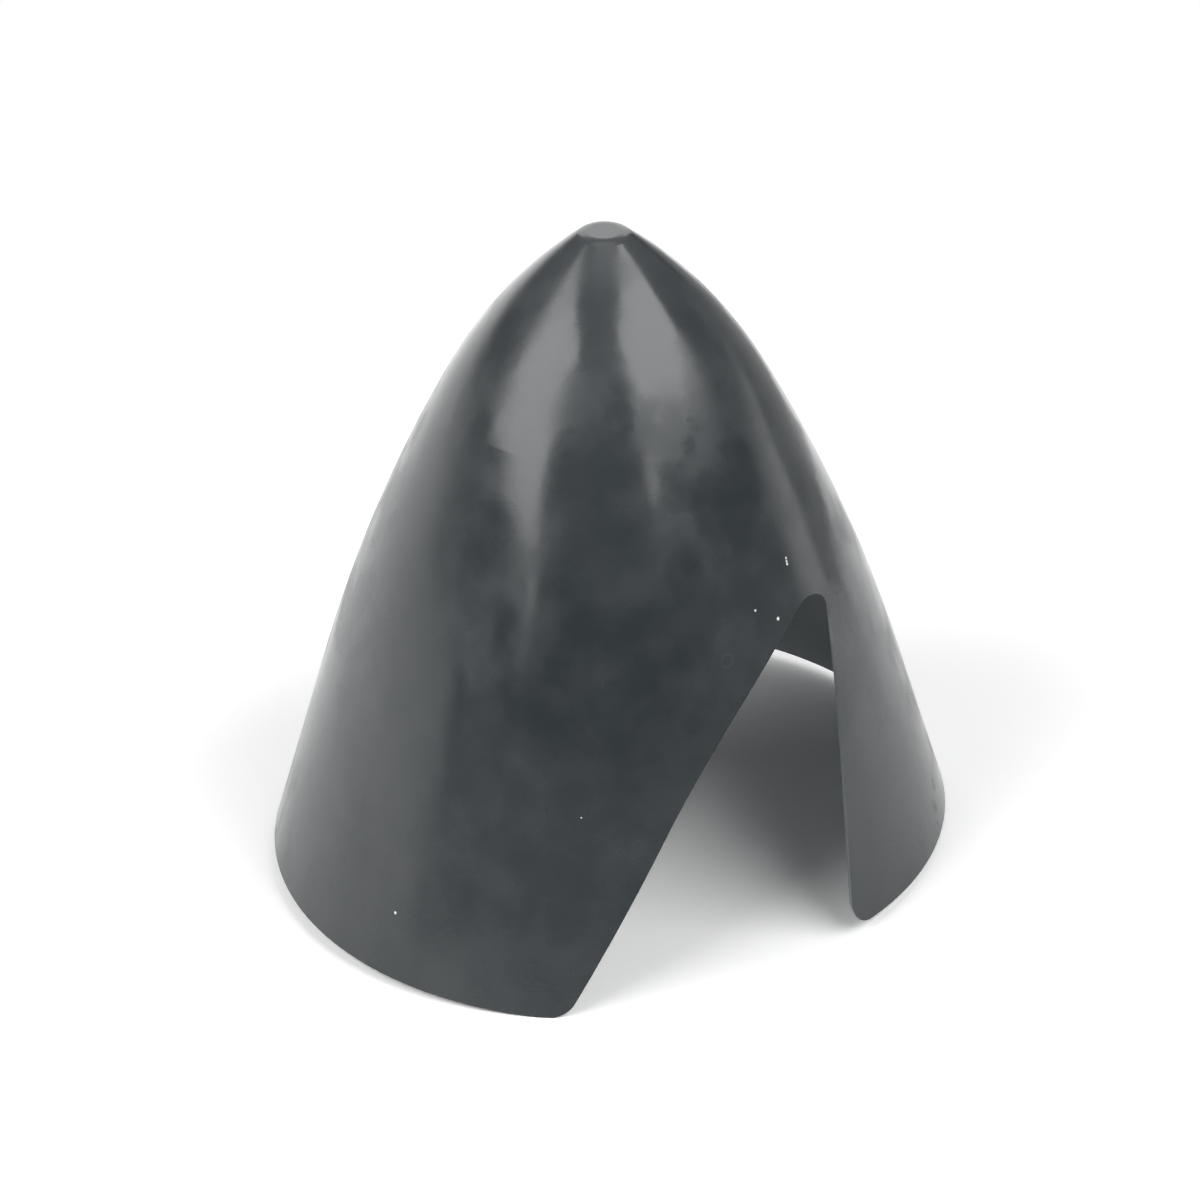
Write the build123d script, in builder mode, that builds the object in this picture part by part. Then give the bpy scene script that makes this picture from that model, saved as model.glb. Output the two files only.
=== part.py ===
from build123d import *
from math import cos, radians, sin, tan
import os

# Overall form, in millimetres and degrees
base_radius = 50.0
height = 98.1
wall = 1.0

# Flank of the ogive: a straight skirt, then two arcs that carry on smoothly up to the nose
skirt_lean = 16.3
skirt_length = 29.9
lower_arc_pull = 24.5
nose_lean = 50.9

# Nose: a small flat with a rounded edge
nose_flat_radius = 2.3
nose_edge_radius = 2.5

# Blade cutouts: one side slants along the blade's pitch and bows, the other stands almost upright
cutout_slant_reach = 21.4
cutout_slant = 32.4
cutout_slant_height = 25.3
cutout_upright_reach = 21.6
cutout_upright_lean = 3.2
cutout_height = 54.1
cutout_apex_radius = 3.9

# Petals between the cutouts: one ends short of the rim plane, and their corners are rounded
long_petal_rise = 0.0
short_petal_rise = 4.6
slant_corner_radius = 5.2
upright_corner_radius = 3.3

# Length by which the raw wall and the cutters run past the rim
spare = 2.0
past_the_rim = base_radius + spare


def along(lean):
    """Direction that climbs the flank where it leans inwards by an angle."""
    return Vector(-sin(radians(lean)), cos(radians(lean)))


def outward(lean):
    """Direction square to the flank where it leans inwards by an angle."""
    return Vector(cos(radians(lean)), sin(radians(lean)))


def arc_joint(start, end):
    """Point where two arcs meet that run on from the skirt at the start and into the nose at the end."""
    chord = end - start
    skirt_way = along(skirt_lean)
    nose_way = along(nose_lean)
    upper_arc_pull = (chord.dot(chord) / 2 - lower_arc_pull * chord.dot(skirt_way)) / (
        chord.dot(nose_way) + lower_arc_pull * (1 - skirt_way.dot(nose_way))
    )
    lower_corner = start + skirt_way * lower_arc_pull
    upper_corner = end - nose_way * upper_arc_pull
    return lower_corner + (upper_corner - lower_corner) * (lower_arc_pull / (lower_arc_pull + upper_arc_pull))


def ogive(inset):
    """Half section of the filled ogive, with its outline moved inwards from the outer surface."""
    edge_radius = nose_edge_radius - inset
    rim = Vector(base_radius, 0) - outward(skirt_lean) * inset
    nose = Vector(nose_flat_radius, height - nose_edge_radius) + outward(nose_lean) * edge_radius
    with BuildSketch(Plane.YZ) as section:
        with BuildLine():
            skirt = Line(rim - along(skirt_lean) * spare, rim + along(skirt_lean) * skirt_length)
            lower_arc = TangentArc(skirt @ 1, arc_joint(skirt @ 1, nose), tangent=skirt % 1)
            upper_arc = TangentArc(lower_arc @ 1, nose, tangent=lower_arc % 1)
            nose_edge = TangentArc(upper_arc @ 1, (nose_flat_radius, height - inset), tangent=upper_arc % 1)
            Polyline(nose_edge @ 1, (0, height - inset), (0, (skirt @ 0).Y), skirt @ 0)
        make_face()
    return section.sketch


def slant_point(rise):
    """Point of the cutout's slanted side at a height above the rim plane."""
    return (-cutout_slant_reach + rise * tan(radians(cutout_slant)), rise)


def upright_point(rise):
    """Point of the cutout's upright side at a height above the rim plane."""
    return (cutout_upright_reach + rise * tan(radians(cutout_upright_lean)), rise)


def blade_cutter(slant_rise, upright_rise):
    """Solid that opens one blade cutout and trims the petals beside it to their heights."""
    with BuildPart() as cutter:
        with BuildSketch(Plane.XZ) as outline:
            with BuildLine():
                slant_side = Line(slant_point(slant_rise), slant_point(cutout_slant_height))
                bow = TangentArc(slant_side @ 1, upright_point(cutout_height), tangent=slant_side % 1)
                Polyline(
                    bow @ 1,
                    upright_point(upright_rise),
                    (past_the_rim, upright_rise),
                    (past_the_rim, -spare),
                    (-past_the_rim, -spare),
                    (-past_the_rim, slant_rise),
                    slant_side @ 0,
                )
            make_face()
            for corner, radius in (
                (slant_point(slant_rise), slant_corner_radius),
                (upright_point(upright_rise), upright_corner_radius),
                (upright_point(cutout_height), cutout_apex_radius),
            ):
                fillet(outline.vertices().sort_by_distance(corner)[0], radius)
        extrude(amount=past_the_rim)
    return cutter.part


front_cutter = blade_cutter(long_petal_rise, short_petal_rise)
rear_cutter = blade_cutter(short_petal_rise, long_petal_rise).rotate(Axis.Z, 180)

# The shell: one moulded wall, its rim trimmed and its two blade cutouts opened
with BuildPart() as spinner_shell:
    add(ogive(0))
    revolve(axis=Axis.Z)
    add(ogive(wall))
    revolve(axis=Axis.Z, mode=Mode.SUBTRACT)
    add(front_cutter, mode=Mode.SUBTRACT)
    add(rear_cutter, mode=Mode.SUBTRACT)

spinner_shell.part.label = "spinner_shell"
os.makedirs("parts", exist_ok=True)
export_step(spinner_shell.part, "parts/spinner_shell.step")
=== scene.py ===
from math import cos, pi, radians, sin, tan

import bpy
from mathutils import Matrix, Vector


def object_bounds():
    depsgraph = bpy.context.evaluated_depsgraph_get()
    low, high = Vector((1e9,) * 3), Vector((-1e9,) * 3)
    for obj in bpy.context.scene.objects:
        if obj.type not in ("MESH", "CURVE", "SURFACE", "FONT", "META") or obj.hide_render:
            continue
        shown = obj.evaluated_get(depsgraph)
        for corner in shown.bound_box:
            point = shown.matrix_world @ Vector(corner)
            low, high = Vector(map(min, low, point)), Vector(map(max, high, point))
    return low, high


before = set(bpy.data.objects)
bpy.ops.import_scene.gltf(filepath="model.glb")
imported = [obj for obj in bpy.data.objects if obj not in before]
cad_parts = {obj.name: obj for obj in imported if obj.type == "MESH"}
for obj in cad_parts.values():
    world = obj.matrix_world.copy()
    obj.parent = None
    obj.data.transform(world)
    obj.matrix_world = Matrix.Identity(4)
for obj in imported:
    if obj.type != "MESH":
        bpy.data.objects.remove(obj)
cad_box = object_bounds()
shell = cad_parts["spinner_shell"]

# Height of the shell, in metres, as the frame gives it
HEIGHT = cad_box[1].z

# The photograph's camera: bearing round the spinner's axis, height above it and distance
CAMERA_AZIMUTH = -17.0
CAMERA_ELEVATION = 33.61
CAMERA_DISTANCE = 0.80
CAMERA_LENS = 162.7
CAMERA_ROLL = -1.04
CAMERA_TARGET = Vector((-0.0014, 0.0004, 0.0385))
SENSOR_WIDTH = 36.0

# The floor, in metres. It climbs from the long petal's corners to the short petal's rim, on which the shell
# would rest, and then falls away to the back to bring in the bright line under the back rim. With that fall
# the shell meets it at the long petal's front corner alone, and the short petal hangs just clear of it.
FLOOR_RADIUS = 0.20
FLOOR_SIDES = 96
CORNER_X = -0.0239
SHORT_PETAL_X = 0.0486
SHORT_PETAL_RISE = 0.0046
FLOOR_CLIMB = SHORT_PETAL_RISE / (SHORT_PETAL_X - CORNER_X)
FLOOR_FALL = 0.018
FALL_START_Y = -0.040

# Tones of the floor's paper: for the light it scatters, in reflections, and as the camera sees it. The last
# two are above 1, so there it is whiter than paper would be.
PAPER_SCATTERING = 0.86
PAPER_MIRRORED = 1.25
PAPER_SEEN = 1.22

# Brightness of the room that the gloss mirrors
WALL_TONE = 0.40
CEILING_TONE = 1.0
TOP_LIGHT = 0.9
BACK_PAPER = 0.85
PAPER_BELOW = 0.32

# The dark end of that room: how much it takes away, and two points of its upper edge, as azimuth from the
# camera and elevation
DARK_END_DEPTH = 0.68
DARK_EDGE_START = (110, -6.5)
DARK_EDGE_END = (131, 3.5)

# Brightness of the world as the light that it casts
FILL_ABOVE = 0.22
FILL_BELOW = 1.1
FILL_BEHIND = 0.7

# Softboxes: azimuth from the camera, elevation, and the width and height they fill as seen from the spinner,
# in degrees, then radiance. The two feet make the lower tips of the highlights.
SOFTBOX_DISTANCE = 1.2
SOFTBOXES = {
    "softbox_left": (-65, 35.5, 45, 38, 3.9),
    "softbox_left_foot": (-39.5, 14.5, 3.5, 9, 3.9),
    "softbox_right": (60, 45, 50, 35, 3.9),
    "softbox_right_foot": (29, 26, 6, 6, 3.9),
    "softbox_back": (180, 24, 50, 34, 1.5),
}

# Marks on the outside, as points of the surface and radii in metres: pale specks, places where the gloss is
# rubbed, dark scuffs, and one small ring
SPECKS = (
    ((0.0149, -0.0308, 0.0502), 0.00024),
    ((0.0176, -0.0298, 0.0492), 0.00022),
    ((0.0177, -0.0261, 0.0568), 0.00018),
    ((0.0177, -0.0263, 0.0564), 0.00018),
    ((0.0177, -0.0264, 0.0560), 0.00018),
    ((0.0114, -0.0313, 0.0525), 0.00016),
    ((-0.0401, -0.0251, 0.0092), 0.00020),
    ((-0.0164, -0.0383, 0.0285), 0.00010),
)
RUBBED = (
    ((-0.0080, -0.0165, 0.0800), 0.0042),
    ((0.0010, -0.0205, 0.0790), 0.0044),
    ((0.0060, -0.0215, 0.0745), 0.0040),
)
SCUFFS = (
    ((0.0416, -0.0228, 0.0085), 0.0016),
    ((0.0429, -0.0200, 0.0104), 0.0012),
    ((0.0411, -0.0247, 0.0062), 0.0013),
    ((0.0010, -0.0037, 0.0981), 0.0005),
)
RING = ((0.0061, -0.0348, 0.0474), 0.0009)

# Colours of the skin. The inside is far paler than the outside: painted light, which lights up the strip of
# inner wall seen through the cutout because little light reaches it there.
DARK_SKIN = (0.0100, 0.0160, 0.0190, 1)
CLOUDED_SKIN = (0.0165, 0.0220, 0.0250, 1)
HAZY_SKIN = (0.026, 0.031, 0.034, 1)
PAINTED_LIGHT_INNER_SKIN = (0.15, 0.17, 0.18, 1)
SCUFF_COLOUR = (0.004, 0.005, 0.006, 1)
RING_COLOUR = (0.10, 0.105, 0.11, 1)
SPECK_COLOUR = (0.75, 0.75, 0.75, 1)

# Gloss of the skin: refraction, the roughness that each kind of wear adds, and the depth of its waves
SKIN_IOR = 1.58
RUBBED_ROUGHNESS = 0.22
SCUFF_ROUGHNESS = 0.3
INNER_ROUGHNESS = 0.15
BUMP_DEPTH = 0.0004
GRAIN_SHARE = 0.01


def grey(tone):
    return (tone, tone, tone, 1)


def bearing(azimuth, elevation):
    """Direction from the origin at an azimuth round +Z, 0 towards -Y and 90 towards +X."""
    a, e = radians(azimuth), radians(elevation)
    return Vector((sin(a) * cos(e), -cos(a) * cos(e), sin(e)))


def from_camera(azimuth, elevation):
    """Direction from the origin at an azimuth counted from the photograph's camera."""
    return bearing(CAMERA_AZIMUTH + azimuth, elevation)


class Nodes:
    """Short calls for making and linking the nodes of one tree."""

    def __init__(self, tree):
        self.tree = tree
        tree.nodes.clear()

    def add(self, kind, **inputs):
        node = self.tree.nodes.new(kind)
        for name, value in inputs.items():
            self.set(node, name, value)
        return node

    def set(self, node, socket_key, value):
        socket = node.inputs[socket_key]
        if isinstance(value, bpy.types.NodeSocket):
            self.tree.links.new(value, socket)
        else:
            socket.default_value = value

    def math(self, operation, a, b=0.0, clamp=False):
        node = self.tree.nodes.new("ShaderNodeMath")
        node.operation = operation
        node.use_clamp = clamp
        self.set(node, 0, a)
        self.set(node, 1, b)
        return node.outputs[0]

    def measure(self, operation, a, b):
        """Distance or dot product of two vectors."""
        node = self.tree.nodes.new("ShaderNodeVectorMath")
        node.operation = operation
        self.set(node, 0, a)
        self.set(node, 1, b)
        return node.outputs["Value"]

    def mix(self, factor, a, b):
        node = self.tree.nodes.new("ShaderNodeMix")
        node.data_type = "RGBA"
        self.set(node, 0, factor)
        self.set(node, 6, a)
        self.set(node, 7, b)
        return node.outputs[2]

    def ramp(self, value, start, end, at_start=0.0, at_end=1.0):
        """Value that goes smoothly from one number to another while the input goes from start to end."""
        node = self.tree.nodes.new("ShaderNodeMapRange")
        node.interpolation_type = "SMOOTHSTEP"
        for index, number in enumerate((value, start, end, at_start, at_end)):
            self.set(node, index, number)
        return node.outputs[0]

    def noise(self, place, scale, detail=2.0, stretch=(1.0, 1.0, 1.0)):
        mapping = self.add("ShaderNodeMapping", Vector=place, Scale=stretch)
        node = self.add("ShaderNodeTexNoise", Scale=scale, Detail=detail, Vector=mapping.outputs[0])
        return node.outputs["Fac"]


def make_camera():
    data = bpy.data.cameras.new("camera")
    data.lens = CAMERA_LENS
    data.sensor_width = SENSOR_WIDTH
    data.clip_start = 0.01
    data.clip_end = 20.0
    camera = bpy.data.objects.new("camera", data)
    bpy.context.scene.collection.objects.link(camera)
    camera.location = CAMERA_DISTANCE * bearing(CAMERA_AZIMUTH, CAMERA_ELEVATION)
    look = (CAMERA_TARGET - camera.location).to_track_quat("-Z", "Y").to_matrix()
    turn = look @ Matrix.Rotation(radians(CAMERA_ROLL), 3, "Z")
    camera.rotation_mode = "QUATERNION"
    camera.rotation_quaternion = turn.to_quaternion()
    bpy.context.scene.camera = camera


def make_world():
    """White to the camera, a studio room to glossy rays, and a soft fill as light."""
    world = bpy.data.worlds.new("studio")
    bpy.context.scene.world = world
    world.use_nodes = True
    n = Nodes(world.node_tree)
    path = n.add("ShaderNodeLightPath").outputs
    way = n.add("ShaderNodeTexCoord").outputs["Generated"]
    height = n.measure("DOT_PRODUCT", way, (0, 0, 1))

    def facing(direction):
        return n.measure("DOT_PRODUCT", way, direction)

    def by_elevation(start, end, at_start=0.0, at_end=1.0):
        return n.ramp(height, sin(radians(start)), sin(radians(end)), at_start, at_end)

    # The room: walls up to a ceiling, a light overhead, the low band of paper behind, and the floor
    behind = n.ramp(facing(from_camera(-165, 0)), -0.18, -0.03)
    low_behind = n.math("MULTIPLY", behind, by_elevation(11, -1))
    room = by_elevation(8, 55, WALL_TONE, CEILING_TONE)
    room = n.math("ADD", room, by_elevation(58, 76, 0.0, TOP_LIGHT))
    room = n.math("ADD", room, n.math("MULTIPLY", low_behind, BACK_PAPER))
    room = n.math("ADD", room, by_elevation(6, -3, 0.0, PAPER_BELOW))

    # Its dark end, behind the spinner on its right
    edge = from_camera(*DARK_EDGE_START).cross(from_camera(*DARK_EDGE_END)).normalized()
    below_edge = n.ramp(facing(edge), -0.015, 0.02, 1.0, 0.0)
    start = n.ramp(facing(from_camera(200, 0)), 0.0, 0.12)
    stop = n.ramp(facing(from_camera(76, 0)), -0.05, 0.12)
    dark_end = n.math("MULTIPLY", n.math("MULTIPLY", start, stop), below_edge)
    kept = n.math("SUBTRACT", 1.0, n.math("MULTIPLY", dark_end, DARK_END_DEPTH))
    room = n.math("MULTIPLY", room, kept)

    fill = by_elevation(16, 0, FILL_ABOVE, FILL_BELOW)
    fill = n.math("ADD", fill, n.math("MULTIPLY", low_behind, FILL_BEHIND))
    seen = n.math("ADD", path["Is Camera Ray"], path["Is Transmission Ray"], True)
    light = n.mix(path["Is Glossy Ray"], fill, room)
    background = n.add("ShaderNodeBackground", Color=n.mix(seen, light, grey(1)), Strength=1.0)
    n.add("ShaderNodeOutputWorld", Surface=background.outputs[0])


def make_softbox(name, azimuth, elevation, width, height, radiance):
    """A rectangular area light that faces the spinner, sized by the angles it fills."""
    data = bpy.data.lights.new(name, "AREA")
    data.shape = "RECTANGLE"
    data.size = 2 * SOFTBOX_DISTANCE * tan(radians(width / 2))
    data.size_y = 2 * SOFTBOX_DISTANCE * tan(radians(height / 2))
    data.energy = radiance * pi * data.size * data.size_y
    lamp = bpy.data.objects.new(name, data)
    bpy.context.scene.collection.objects.link(lamp)
    out = from_camera(azimuth, elevation)
    lamp.location = Vector((0, 0, HEIGHT / 2)) + out * SOFTBOX_DISTANCE
    lamp.rotation_mode = "QUATERNION"
    lamp.rotation_quaternion = out.to_track_quat("Z", "Y")
    lamp.visible_camera = False


def make_paper():
    material = bpy.data.materials.new("floor_paper")
    material.use_nodes = True
    n = Nodes(material.node_tree)
    path = n.add("ShaderNodeLightPath").outputs
    mirrored = n.math("ADD", path["Is Glossy Ray"], path["Is Transmission Ray"], True)
    tone = n.mix(mirrored, grey(PAPER_SCATTERING), grey(PAPER_MIRRORED))
    tone = n.mix(path["Is Camera Ray"], tone, grey(PAPER_SEEN))
    paper = n.add("ShaderNodeBsdfDiffuse", Color=tone)
    n.add("ShaderNodeOutputMaterial", Surface=paper.outputs[0])
    return material


def make_floor():
    corners = []
    for k in range(FLOOR_SIDES):
        turn = 2 * pi * k / FLOOR_SIDES
        x, y = FLOOR_RADIUS * cos(turn), FLOOR_RADIUS * sin(turn)
        corners.append((x, y, FLOOR_CLIMB * (x - CORNER_X) - FLOOR_FALL * (y - FALL_START_Y)))
    mesh = bpy.data.meshes.new("floor")
    mesh.from_pydata(corners, [], [list(range(FLOOR_SIDES))])
    mesh.materials.append(make_paper())
    floor = bpy.data.objects.new("floor", mesh)
    bpy.context.scene.collection.objects.link(floor)


def make_shell_material():
    """Dark glossy plastic, clouded and rubbed by handling."""
    material = bpy.data.materials.new("shell_plastic")
    material.use_nodes = True
    n = Nodes(material.node_tree)
    place = n.add("ShaderNodeTexCoord").outputs["Object"]

    def spots(marks, soft):
        total = 0.0
        for point, radius in marks:
            off = n.measure("DISTANCE", place, point)
            total = n.math("ADD", total, n.ramp(off, radius * (1 + soft), radius * (1 - soft)), True)
        return total

    cloud = n.noise(place, 160.0, 3.0)
    haze = n.noise(place, 75.0, stretch=(1, 1, 0.45))
    patch = n.noise(place, 95.0, stretch=(1, 1, 0.7))
    grain = n.noise(place, 1500.0)
    wave = n.noise(place, 45.0, 1.0, (1, 1, 0.6))

    # The inside of the wall faces the axis: its normal turns against its own place
    normal = n.add("ShaderNodeNewGeometry").outputs["True Normal"]
    inside = n.ramp(n.measure("DOT_PRODUCT", normal, place), 0.0, -0.002)
    rubbed = n.math("MULTIPLY", spots(RUBBED, 0.8), n.ramp(cloud, 0.30, 0.55))
    scuff_breaks = n.ramp(n.noise(place, 600.0), 0.3, 0.7, 0.0, 0.6)
    scuffed = n.math("MULTIPLY", spots(SCUFFS, 0.5), scuff_breaks)
    ring_centre, ring_radius = RING
    off_ring = n.math("SUBTRACT", n.measure("DISTANCE", place, ring_centre), ring_radius)
    ring = n.ramp(n.math("ABSOLUTE", off_ring), 0.00018, 0.00004, 0.0, 0.15)

    tone = n.mix(n.ramp(cloud, 0.35, 0.7), DARK_SKIN, CLOUDED_SKIN)
    tone = n.mix(n.ramp(haze, 0.5, 0.75, 0.0, 0.6), tone, HAZY_SKIN)
    tone = n.mix(scuffed, tone, SCUFF_COLOUR)
    tone = n.mix(ring, tone, RING_COLOUR)
    # Painted light: the inside of the wall gets a far paler tone, standing in for light that does not reach
    # it
    tone = n.mix(inside, tone, PAINTED_LIGHT_INNER_SKIN)
    tone = n.mix(spots(SPECKS, 0.3), tone, SPECK_COLOUR)

    rough = n.math("ADD", n.ramp(cloud, 0.3, 0.75, 0.14, 0.20), n.ramp(patch, 0.46, 0.66, 0.0, 0.13))
    for wear, share in ((rubbed, RUBBED_ROUGHNESS), (scuffed, SCUFF_ROUGHNESS), (inside, INNER_ROUGHNESS)):
        rough = n.math("ADD", rough, n.math("MULTIPLY", wear, share))

    bumps = n.math("ADD", wave, n.math("MULTIPLY", grain, GRAIN_SHARE))
    bump = n.add("ShaderNodeBump", Strength=1.0, Distance=BUMP_DEPTH, Height=bumps)
    skin = n.add("ShaderNodeBsdfPrincipled", IOR=SKIN_IOR, Roughness=rough, Normal=bump.outputs[0])
    n.set(skin, "Base Color", tone)
    n.add("ShaderNodeOutputMaterial", Surface=skin.outputs[0])
    return material


make_camera()
make_world()
for softbox, setting in SOFTBOXES.items():
    make_softbox(softbox, *setting)
make_floor()
shell.data.materials.clear()
shell.data.materials.append(make_shell_material())

bpy.context.scene.view_settings.view_transform = "Standard"
